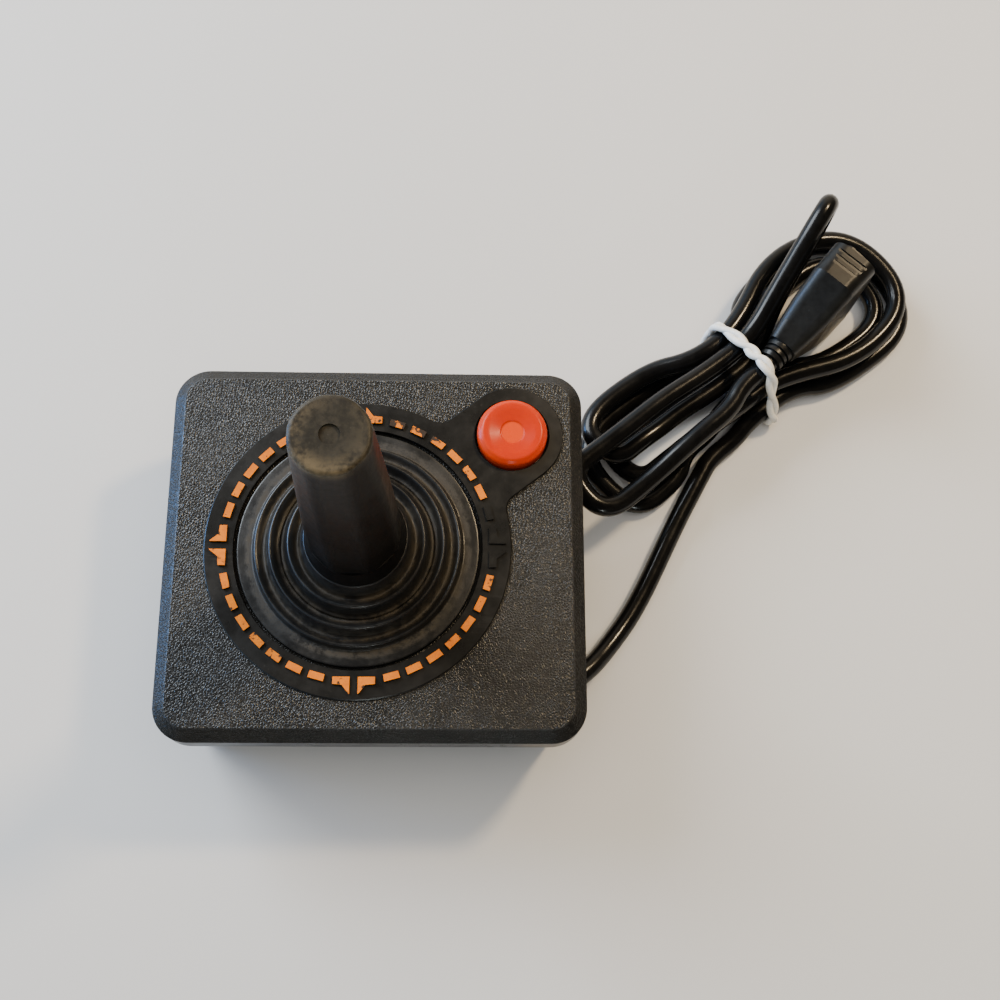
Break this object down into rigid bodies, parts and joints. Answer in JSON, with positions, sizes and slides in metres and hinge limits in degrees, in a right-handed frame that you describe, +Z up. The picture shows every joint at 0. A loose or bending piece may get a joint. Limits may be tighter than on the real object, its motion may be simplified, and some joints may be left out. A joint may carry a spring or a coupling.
{
  "type": "joystick controller",
  "caption": "Square black game controller with a boot-sealed eight-sided stick, a round fire button and a cord tied in a hank that ends in a moulded plug.",
  "frame": {"origin": "middle of the case's base, on the surface it stands on", "axes": "+Z up along the stick, +Y towards the side the cord leaves by, +X to the player's right; the button is at -X +Y"},
  "size_m": [0.141, 0.1861, 0.1103],
  "materials": {
    "case_black": "moulded, pebble grain outside, satin plate",
    "base_black": "moulded, fine grain",
    "screw_steel": "zinc plated",
    "mark_orange": "foil, slightly worn",
    "boot_rubber": "satin",
    "grip_rubber": "satin, worn at the end",
    "core_plastic": "natural",
    "board_green": "coated laminate",
    "dome_steel": "sprung sheet",
    "tape_clear": "thin film",
    "button_orange": "moulded, glossy",
    "spring_steel": "drawn wire",
    "bush_rubber": "satin",
    "terminal_white": "moulded",
    "wire_coat": "insulation",
    "cord_black": "glossy jacket",
    "tie_white": "coated band",
    "plug_black": "moulded",
    "insert_black": "moulded",
    "contact_brass": "plated sockets"
  },
  "bodies": {
    "case": {"top_case": "case_black", "bottom_case": "base_black", "case_screws": "screw_steel", "mark_foil": "mark_orange", "circuit_board": "board_green", "direction_domes": "dome_steel", "fire_dome": "dome_steel", "dome_tape": "tape_clear", "button_spring": "spring_steel", "cord_bush": "bush_rubber", "wire_terminals": "terminal_white", "inner_wires": "wire_coat", "cord_lead": "cord_black", "cord_hank": "cord_black", "cord_tie": "tie_white", "plug_relief": "plug_black", "plug_hood": "plug_black", "plug_insert": "insert_black", "plug_contacts": "contact_brass"},
    "boot": {"rubber_boot": "boot_rubber"},
    "stick": {"grip_sleeve": "grip_rubber", "stick_core": "core_plastic"},
    "button": {"fire_button": "button_orange"}
  },
  "joints": [
    {"name": "stick_fore_aft", "type": "hinge", "parent": "case", "child": "boot", "pos_m": [0, -0.00368, 0.019], "axis": [1, 0, 0], "range_deg": [-7, 7], "stiffness_Nm_per_rad": 0.8, "deforming": ["rubber_boot", "direction_domes", "dome_tape"]},
    {"name": "stick_left_right", "type": "hinge", "parent": "boot", "child": "stick", "pos_m": [0, -0.00368, 0.019], "axis": [0, 1, 0], "range_deg": [-7, 7], "stiffness_Nm_per_rad": 0.8, "deforming": ["rubber_boot", "direction_domes", "dome_tape"]},
    {"name": "button_press", "type": "slide", "parent": "case", "child": "button", "axis": [0, 0, -1], "range_m": [0, 0.0018], "stiffness_N_per_m": 600, "springref_m": -0.0015, "deforming": ["fire_dome", "button_spring"]}
  ]
}
